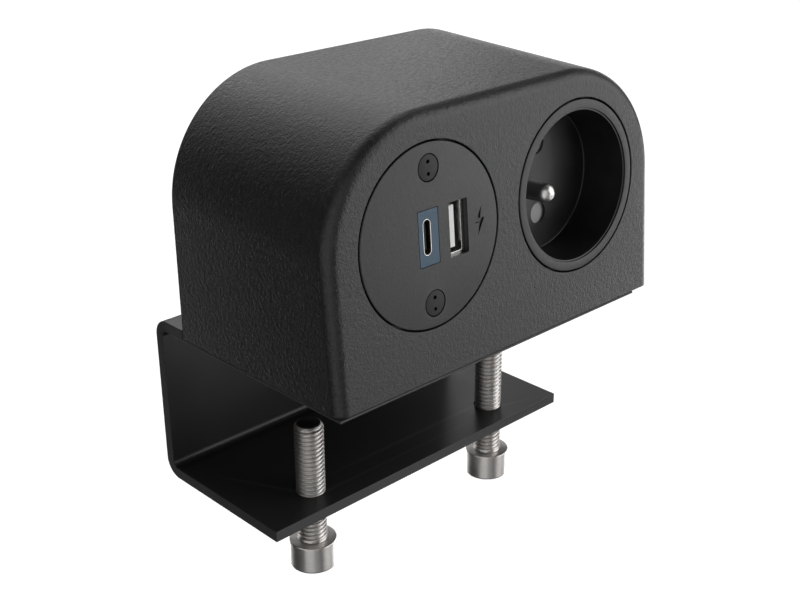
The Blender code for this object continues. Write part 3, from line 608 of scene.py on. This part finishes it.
def cover_screws(paint):
    """Pan heads with a cross drive."""
    for number in range(1, 5):
        node = f"cover_screw_{number}"
        low, high = box(node)
        seat = box("rear_cover")[1].y + 0.05
        radius = (high.x - low.x) / 2
        rows = [(0.4, low.y), (PAN_SHANK, low.y + 1.0), (PAN_SHANK, seat), (radius, seat)]
        crown = high.y - seat - PAN_RIM
        for turn in range(0, 85, 7):
            angle = math.radians(turn)
            rows.append((radius * math.cos(angle), seat + PAN_RIM + crown * math.sin(angle)))
        place = back_place(middle(node).x, middle(node).z)
        piece = new_object(f"pan_screw_{number}", revolved(rows, SMALL_ROUND), place)
        arm, width, depth = PAN_DRIVE
        carve(piece, [cross(arm, width, high.y - depth, high.y + 1.0)], place)
        smooth(piece)
        settle(piece, "housing", paint["zinc_plated_steel"], [node])


# ---- bracket and its screws

def bracket_profile():
    """The bent sheet's outline in Y and Z."""
    low, high = box("clamp_bracket")
    sheet = high.z
    outer = BEND_INNER + sheet
    upper = (high.y - outer, sheet - outer)
    lower = (high.y - outer, low.z + outer)
    points = [(low.y, sheet)]
    points += arc(upper, outer, 90, 0, BEND_STEPS)
    points += arc(lower, outer, 0, -90, BEND_STEPS)
    points += [(LOWER_FLANGE_FRONT, low.z), (LOWER_FLANGE_FRONT, low.z + sheet)]
    points += arc(lower, BEND_INNER, -90, 0, BEND_STEPS)
    points += arc(upper, BEND_INNER, 0, 90, BEND_STEPS)
    points.append((low.y, 0.0))
    return points


def bracket(paint):
    low, high = box("clamp_bracket")
    along_x = Matrix(((0, 0, 1, 0), (1, 0, 0, 0), (0, 1, 0, 0), (0, 0, 0, 1)))
    piece = new_object("bent_bracket", prism(bracket_profile(), low.x, high.x), along_x)
    # The rebate that the casing's rim stands in, along the left end and the front
    _, _, front, back = case_frame()
    inner_x = low.x + CASE_WALL + 0.1
    inner_y = front + CASE_WALL + 0.2
    rebate = [(low.x - 5, front - 5), (high.x + 5, front - 5), (high.x + 5, inner_y), (inner_x, inner_y),
              (inner_x, back + 0.3), (low.x - 5, back + 0.3)]
    cuts = [prism(rebate, LIP_HEIGHT, high.z + 5)]
    for side in ("left", "right"):
        screw = middle(f"clamp_screw_{side}")
        hole = circle(THREAD_HOLE, SMALL_ROUND, (screw.x, screw.y))
        cuts.append(prism(hole, low.z - 5, low.z + high.z + 5))
    for number in range(1, 5):
        screw = middle(f"bracket_screw_{number}")
        sink = revolved([(4.6, -1.0), (4.35, 0.0), (2.2, 2.15), (2.2, 8.0)], SMALL_ROUND)
        cuts.append(moved(sink, (screw.x, screw.y, 0.0)))
    carve(piece, cuts)
    soften(piece, BRACKET_EDGE)
    settle(piece, "housing", paint["bracket_black"], ["clamp_bracket"])


def bracket_screws(paint):
    """Countersunk screws with a hexagon drive, seen from below."""
    for number in range(1, 5):
        node = f"bracket_screw_{number}"
        low, high = box(node)
        place = Matrix.Translation((middle(node).x, middle(node).y, 0.0))
        rows = [(4.0, low.z), (4.15, low.z + 0.15), (4.1, low.z + 0.3)]
        rows += [(1.9, low.z + 2.4), (1.9, high.z - 0.6), (1.4, high.z)]
        piece = new_object(f"sunk_screw_{number}", revolved(rows, SMALL_ROUND), place)
        carve(piece, [prism(circle(SUNK_HEX, 6), -1.0, low.z + SUNK_HEX_DEPTH)], place)
        smooth(piece)
        settle(piece, "housing", paint["zinc_plated_steel"], [node])


def thread_radius(height, limit):
    """The radius of a right-hand thread at a height, as a function of the angle."""
    def radius(angle):
        turns = height / PITCH - angle / math.tau
        level = 0.5 + 0.5 * math.sin(math.tau * turns)
        return min(limit, THREAD_ROOT + (THREAD_CREST - THREAD_ROOT) * level)
    return radius


def clamp_screws(paint):
    """Fully threaded cap screws, heads down, each with a pressure tip in its end."""
    for side in ("left", "right"):
        node = f"clamp_screw_{side}"
        centre = middle(node)
        low, high = box(node)
        tip_top = box(f"clamp_tip_{side}")[1].z
        head = (high.x - low.x) / 2
        head_top = low.z + HEAD_HEIGHT
        end = tip_top - TIP_STANDS
        rows = [(0.01, low.z), (head - HEAD_ROUND - 0.3, low.z), (head - HEAD_ROUND, low.z)]
        rows += arc((head - HEAD_ROUND, low.z + HEAD_ROUND), HEAD_ROUND, -90, 0, 6)[1:]
        rows += [(head, low.z + 0.75), (head, head_top - 0.5), (head, head_top - 0.35)]
        rows += [(head - 0.1, head_top - 0.1), (head - 0.35, head_top)]
        rows += [(4.4, head_top), (4.15, head_top + 0.06), (THREAD_CREST, head_top + 0.25)]
        thread_start = head_top + RUN_OUT
        chamfer = end - END_CHAMFER
        count = int((end - thread_start) / PITCH * ROWS_PER_PITCH)
        for step in range(count):
            height = thread_start + (end - thread_start) * step / count
            limit = THREAD_CREST - max(0.0, height - chamfer) * END_SLOPE
            rows.append((thread_radius(height, limit), height))
        rim = THREAD_CREST - (end - chamfer) * END_SLOPE
        rows += [(rim, end), (rim - 0.06, end + 0.03), (rim - 0.16, end)]
        rows += [(rim - 0.18, end - 0.5), (0.01, end - 0.5)]
        place = Matrix.Translation((centre.x, centre.y, 0.0))
        piece = new_object(f"cap_screw_{side}", revolved(rows, SCREW_STEPS), place)
        carve(piece, [prism(circle(HEX_SOCKET, 6), low.z - 1.0, low.z + HEX_SOCKET_DEPTH)], place)
        smooth(piece, 42)
        settle(piece, f"screw_{side}", paint["stainless_steel"], [node])

        reach = rim - 0.2
        rows = [(reach, end - 0.45), (reach, tip_top - 0.12), (reach - 0.04, tip_top - 0.04)]
        rows += [(reach - 0.12, tip_top), (0.01, tip_top)]
        tip = new_object(f"pressure_tip_{side}", revolved(rows, SMALL_ROUND), place)
        smooth(tip)
        settle(tip, f"tip_{side}", paint["black_nylon"], [f"clamp_tip_{side}"])


# ---- charger module

def charger_bezel(paint):
    place = face_place(middle("charger_bezel").x)
    rows = [(0.01, 0.0)]
    rows += arc((MODULE_FACE - FACE_EDGE, -FACE_EDGE), FACE_EDGE, 90, 0, 5)
    rows += [(MODULE_FACE, -FLANGE_FRONT), (MODULE_FLANGE, -FLANGE_FRONT), (MODULE_FLANGE, -FLANGE_BACK),
             (BEZEL_INNER, -FLANGE_BACK), (BEZEL_INNER, -BEZEL_WEB), (0.01, -BEZEL_WEB)]
    piece = new_object("charger_face", revolved(rows, ROUND), place)
    cuts = []
    opening = (INSERT_SIZE[0] + 2 * INSERT_GAP, INSERT_SIZE[1] + 2 * INSERT_GAP)
    for size, centre in ((opening, INSERT_CENTRE), (USB_A_WINDOW, USB_A_CENTRE)):
        cuts.append(prism(rounded_rectangle(size, 0.3, centre), -6.0, 2.0))
    for up in FASTENER_UP:
        reach = FASTENER + FASTENER_GAP
        hole = revolved([(1.5, -6.0), (1.5, -1.9), (reach, -1.9), (reach, 2.0)], SMALL_ROUND)
        cuts.append(moved(hole, (FASTENER_X, up, 0.0)))
    # Room behind the window for the port's wider shell
    pocket = (USB_A_SHELL[0] + 0.3, USB_A_SHELL[1] + 0.3)
    cuts.append(prism(rounded_rectangle(pocket, 0.4, USB_A_MIDDLE), -6.0, -USB_A_FRONT + 0.1))
    # A plain bolt of lightning, engraved beside the ports
    bolt = [(0.7, 3.6), (-1.6, -0.5), (-0.15, -0.5), (-0.7, -3.6), (1.6, 0.5), (0.15, 0.5)]
    cuts.append(moved(prism(bolt, -MARK_DEPTH, 1.0), (MARK_X, 0.0, 0.0)))
    carve(piece, cuts, place)
    smooth(piece)
    settle(piece, "housing", paint["bezel_black"], ["charger_bezel"])


def fasteners(paint):
    """Round fasteners with two small holes for their key."""
    place = face_place(middle("charger_bezel").x)
    for side, up in zip(("upper", "lower"), FASTENER_UP):
        rows = [(1.2, -5.5), (1.2, -1.6), (FASTENER, -1.6)]
        rows += arc((FASTENER - FASTENER_EDGE, -0.25), FASTENER_EDGE, 0, 90, 4)
        rows.append((0.01, -0.05))
        shape = moved(revolved(rows, SMALL_ROUND), (FASTENER_X, up, 0.0))
        piece = new_object(f"twin_hole_fastener_{side}", shape, place)
        holes = []
        for offset in (-KEY_HOLE_UP, KEY_HOLE_UP):
            holes.append(prism(circle(KEY_HOLE, 24, (FASTENER_X, up + offset)), -1.1, 1.0))
        carve(piece, holes, place)
        smooth(piece)
        settle(piece, "housing", paint["black_nylon"], [f"bezel_fastener_{side}"])


def usb_c(paint):
    place = face_place(middle("charger_bezel").x)
    outline = rounded_rectangle(INSERT_SIZE, 0.3, INSERT_CENTRE)
    insert = new_object("port_insert", prism(outline, -4.0, 0.0), place)
    flange = (INSERT_SIZE[0] + 1.8, INSERT_SIZE[1] + 1.8)
    carve(insert, [prism(rounded_rectangle(flange, 0.5, INSERT_CENTRE), -4.4, -2.8)], place, "UNION")
    mouth = (USB_C_SIZE[0] + 0.06, USB_C_SIZE[1] + 0.06)
    carve(insert, [prism(stadium(mouth, USB_C_CENTRE), -6.0, 2.0)], place)
    smooth(insert)
    settle(insert, "housing", paint["blue_grey_plastic"], ["usb_c_insert"])

    shell = new_object("c_port_shell", prism(stadium(USB_C_SIZE, USB_C_CENTRE), -PORT_BACK, 0.0), place)
    hollow = (USB_C_SIZE[0] - 2 * USB_C_WALL, USB_C_SIZE[1] - 2 * USB_C_WALL)
    carve(shell, [prism(stadium(hollow, USB_C_CENTRE), -PORT_FLOOR, 2.0)], place)
    soften(shell, 0.06, 2)
    settle(shell, "housing", paint["nickel_plated"], ["usb_c_shell"])

    outline = rounded_rectangle(USB_C_TONGUE, 0.2, USB_C_CENTRE)
    tongue = new_object("c_port_tongue", prism(outline, -TONGUE_BACK, -0.9), place)
    smooth(tongue)
    settle(tongue, "housing", paint["black_nylon"], ["usb_c_tongue"])
    pads = []
    for number in range(USB_C_PADS):
        up = USB_C_CENTRE[1] + (number - (USB_C_PADS - 1) / 2) * 0.5
        for side in (-1, 1):
            centre = (USB_C_CENTRE[0] + side * 0.36, up)
            pads.append(prism(rounded_rectangle((0.06, 0.26), 0.02, centre, 2), -6.5, -1.5))
    contacts = new_object("c_port_contacts", combined(pads), place)
    smooth(contacts)
    settle(contacts, "housing", paint["gold_plated"], [])


def usb_a(paint):
    place = face_place(middle("charger_bezel").x)
    outline = rounded_rectangle(USB_A_SHELL, 0.5, USB_A_MIDDLE)
    shell = new_object("a_port_shell", prism(outline, -PORT_BACK, -USB_A_FRONT), place)
    hollow = (USB_A_SHELL[0] - 2 * USB_A_WALL, USB_A_SHELL[1] - 2 * USB_A_WALL)
    carve(shell, [prism(rounded_rectangle(hollow, 0.3, USB_A_MIDDLE), -PORT_FLOOR, 2.0)], place)
    soften(shell, 0.12, 3)
    settle(shell, "housing", paint["nickel_plated"], ["usb_a_shell"])

    centre = (USB_A_CENTRE[0] - 1.05, USB_A_CENTRE[1] + 0.3)
    outline = rounded_rectangle(USB_A_TONGUE, 0.2, centre)
    tongue = new_object("a_port_tongue", prism(outline, -TONGUE_BACK, -1.5), place)
    soften(tongue, 0.08)
    settle(tongue, "housing", paint["white_plastic"], ["usb_a_tongue"])

    # A black block, painted shadow, fills the hollow at the bottom of the port beside the tongue
    size = (hollow[0] / 2 - 0.15, hollow[1] - 0.2)
    spot = (USB_A_MIDDLE[0] + hollow[0] / 4 + 0.05, USB_A_MIDDLE[1])
    painted_shadow = new_object("a_port_painted_shadow", prism(rounded_rectangle(size, 0.2, spot), -13.4, -4.0), place)
    soften(painted_shadow, 0.1)
    settle(painted_shadow, "housing", paint["black_nylon"], [])


# ---- socket module

def socket_cup(paint):
    place = face_place(middle("socket_cup").x)
    rows = [(0.01, -RECESS_DEPTH)]
    rows += arc((RECESS - 0.45, -RECESS_DEPTH + 0.45), 0.45, -90, 0, 6)
    # A narrow step round the mouth of the recess
    step, drop = RECESS_STEP
    rows += arc((RECESS + 0.12, -drop - 0.12), 0.12, 180, 90, 3)
    rows.append((step, -drop))
    rows += arc((step + 0.2, -0.2), 0.2, 180, 90, 4)
    rows += arc((MODULE_FACE - FACE_EDGE, -FACE_EDGE), FACE_EDGE, 90, 0, 5)
    rows += [(MODULE_FACE, -FLANGE_FRONT), (MODULE_FLANGE, -FLANGE_FRONT), (MODULE_FLANGE, -FLANGE_BACK)]
    rows += [(MODULE_BODY, -FLANGE_BACK), (MODULE_BODY, -FLOOR_BACK), (RECESS, -FLOOR_BACK)]
    rows += [(RECESS, -RECESS_DEPTH - CUP_FLOOR), (0.01, -RECESS_DEPTH - CUP_FLOOR)]
    piece = new_object("socket_face", revolved(rows, ROUND), place)
    holes = [prism(circle(CONTACT_HOLE, SMALL_ROUND, (0.0, up)), -20.0, -10.0) for up in CONTACT_UP]
    holes.append(prism(circle(EARTH_PIN + 0.08, SMALL_ROUND, (EARTH_PIN_X, 0.0)), -20.0, -10.0))
    carve(piece, holes, place)
    smooth(piece)
    settle(piece, "housing", [paint["bezel_black"], paint["recess_painted_shade"]], ["socket_cup"])
    # Painted shade: the recess gets a darker black than the face round it
    inward = place.inverted()
    for face in piece.data.polygons:
        spot = inward @ (face.center / MM)
        inside = spot.z < -drop - 0.1 and math.hypot(spot.x, spot.y) < MODULE_BODY
        face.material_index = 1 if inside else 0


def shutter(paint):
    """A plate on a pivot, close behind the contact holes."""
    place = face_place(middle("socket_cup").x)
    front = -RECESS_DEPTH - CUP_FLOOR - SHUTTER_BEHIND
    outline = stadium((2 * SHUTTER_END, 2 * CONTACT_UP[0] + 2 * SHUTTER_END), steps=24)
    piece = new_object("contact_shutter", prism(outline, -SHUTTER_BACK, front), place)
    carve(piece, [prism(circle(PIVOT_HOLE, SMALL_ROUND), -SHUTTER_BACK - 1.0, front + 1.0)], place)
    soften(piece, 0.15)
    settle(piece, "shutter", paint["grey_plastic"], ["shutter"])


def earth_pin(paint):
    place = face_place(middle("socket_cup").x)
    shoulder = -FLOOR_BACK - 0.3
    rows = [(EARTH_PIN, -EARTH_PIN_BACK), (EARTH_PIN, shoulder - 1.6), (EARTH_PIN_COLLAR, shoulder - 1.6)]
    rows += [(EARTH_PIN_COLLAR, shoulder), (EARTH_PIN, shoulder)]
    rows += arc((0.0, -EARTH_PIN_TIP - EARTH_PIN), EARTH_PIN, 0, 89.5, 20)
    piece = new_object("round_earth_pin", moved(revolved(rows, SMALL_ROUND), (EARTH_PIN_X, 0.0, 0.0)), place)
    smooth(piece)
    settle(piece, "housing", paint["pin_metal"], ["earth_pin"])


# ---- cable gland

def gland(paint):
    """The gland's flange, ribbed cap and seal, seen from behind."""
    low, high = box("gland_body")
    cap_low, cap_high = box("gland_cap")
    centre = middle("gland_cap")
    place = back_place(centre.x, centre.z)
    flange = (high.x - low.x) / 2
    flange_front = high.y - 5.5
    rows = [(4.0, low.y), (5.9, low.y), (5.9, flange_front), (flange - 0.2, flange_front)]
    rows += [(flange, flange_front + 0.2), (flange, high.y - 2.8), (flange - 0.3, high.y - 2.5)]
    rows += [(7.0, high.y - 2.5), (7.0, high.y), (4.0, high.y)]
    body = new_object("gland_flange", revolved(rows, ROUND, closed=True), place)
    smooth(body)
    settle(body, "housing", paint["black_nylon"], ["gland_body"])

    radius = (cap_high.x - cap_low.x) / 2

    def ribbed(angle):
        wave = abs(math.sin(angle * GLAND_RIBS))
        return radius - GLAND_RIB_DEPTH * min(1.0, max(0.0, (0.55 - wave) / 0.3))

    rows = [(7.3, cap_low.y), (radius - 0.5, cap_low.y)]
    rows += [(ribbed, cap_low.y + 0.3), (ribbed, cap_high.y - 3.4)]
    rows += [(radius - 0.6, cap_high.y - 2.9), (6.9, cap_high.y - 0.25), (6.6, cap_high.y), (5.3, cap_high.y)]
    rows += [(5.0, cap_high.y - 0.3), (5.0, cap_high.y - 2.0), (7.3, cap_high.y - 2.0)]
    cap = new_object("gland_nut", revolved(rows, ROUND * 2, closed=True), place)
    smooth(cap, 30)
    settle(cap, "housing", paint["black_nylon"], ["gland_cap"])

    seal_low, seal_high = box("gland_seal")
    outer = (seal_high.x - seal_low.x) / 2
    rows = [(4.0, seal_low.y), (outer, seal_low.y), (outer, seal_high.y), (4.3, seal_high.y)]
    rows.append((4.0, seal_high.y - 0.3))
    seal = new_object("gland_ring", revolved(rows, ROUND, closed=True), place)
    smooth(seal)
    settle(seal, "housing", paint["seal_rubber"], ["gland_seal"])


def repaint_frame(paint):
    """Give every CAD node that stays in view, or inside, its own slot's material."""
    slots = {part["node"]: part["material_slot"] for part in frame["record"]["subparts"]}
    for node, piece in frame["nodes"].items():
        piece.data.materials.clear()
        piece.data.materials.append(paint[slots[node]])


# ---- stage, light and camera

def stage():
    shape = bmesh.new()
    bmesh.ops.create_grid(shape, x_segments=1, y_segments=1, size=6000.0)
    # Low enough for the screws when they are wound right out
    floor = new_object("floor", moved(shape, (0.0, 0.0, box("clamp_screw_left")[0].z - SCREW_TRAVEL - 2.0)))
    white, _, shader = new_material("floor_white", (0.3, 0.3, 0.3), 0.9)
    shader.inputs["Emission Color"].default_value = (1.0, 1.0, 1.0, 1.0)
    shader.inputs["Emission Strength"].default_value = 0.93
    shader.inputs["Specular IOR Level"].default_value = 0.0
    floor.data.materials.append(white)
    # The floor only shows. The lamps alone light the object
    floor.visible_glossy = False
    floor.visible_diffuse = False
    floor.visible_shadow = False


def soft_box(azimuth, elevation, power):
    """A square lamp that faces the object, seen from it at two angles in degrees."""
    turn = math.radians(azimuth)
    rise = math.radians(elevation)
    direction = Vector((math.cos(turn) * math.cos(rise), math.sin(turn) * math.cos(rise), math.sin(rise)))
    data = bpy.data.lights.new("soft_box", "AREA")
    data.size = SOFT_BOX
    data.energy = power
    made = bpy.data.objects.new("soft_box", data)
    bpy.context.collection.objects.link(made)
    made.location = direction * SOFT_BOX_DISTANCE
    made.rotation_mode = "QUATERNION"
    made.rotation_quaternion = direction.to_track_quat("Z", "Y")
    made.visible_camera = False


def lights():
    """A surround that is bright to the right and behind, and dim on the camera's side."""
    world = bpy.data.worlds.new("studio")
    world.use_nodes = True
    world.node_tree.nodes["Background"].inputs["Color"].default_value = (1.0, 1.0, 1.0, 1.0)
    world.node_tree.nodes["Background"].inputs["Strength"].default_value = 0.04
    bpy.context.scene.world = world
    # The surround, level with the object and above it
    for azimuth, power in ((-60, 4.2), (-30, 4.8), (90, 3.0), (-120, 1.2), (-150, 1.6)):
        soft_box(azimuth, 0, power)
        soft_box(azimuth, 30, power)
    soft_box(30, 0, 3.0)
    soft_box(60, 30, 3.6)
    soft_box(180, 0, 2.1)
    # Light that comes up from the white ground
    for azimuth, power in ((60, 22.0), (0, 8.0), (90, 3.0), (-60, 2.4), (-120, 0.8), (-150, 2.0)):
        soft_box(azimuth, -30, power)
    # A little from above
    for azimuth, power in ((30, 1.8), (60, 1.5), (90, 1.0), (150, 1.0)):
        soft_box(azimuth, 60, power)


def camera():
    data = bpy.data.cameras.new("camera")
    data.lens = CAMERA_LENS
    data.sensor_width = 36.0
    data.clip_start = 0.01
    made = bpy.data.objects.new("camera", data)
    bpy.context.collection.objects.link(made)
    made.location = CAMERA_PLACE
    made.rotation_euler = [math.radians(turn) for turn in CAMERA_TURN]
    bpy.context.scene.camera = made


camera()
lights()
stage()
bpy.context.scene.view_settings.view_transform = "Standard"
paints = make_materials()
repaint_frame(paints)
casing(paints)
rear_cover(paints)
cover_screws(paints)
bracket(paints)
bracket_screws(paints)
clamp_screws(paints)
charger_bezel(paints)
fasteners(paints)
usb_c(paints)
usb_a(paints)
socket_cup(paints)
shutter(paints)
earth_pin(paints)
gland(paints)
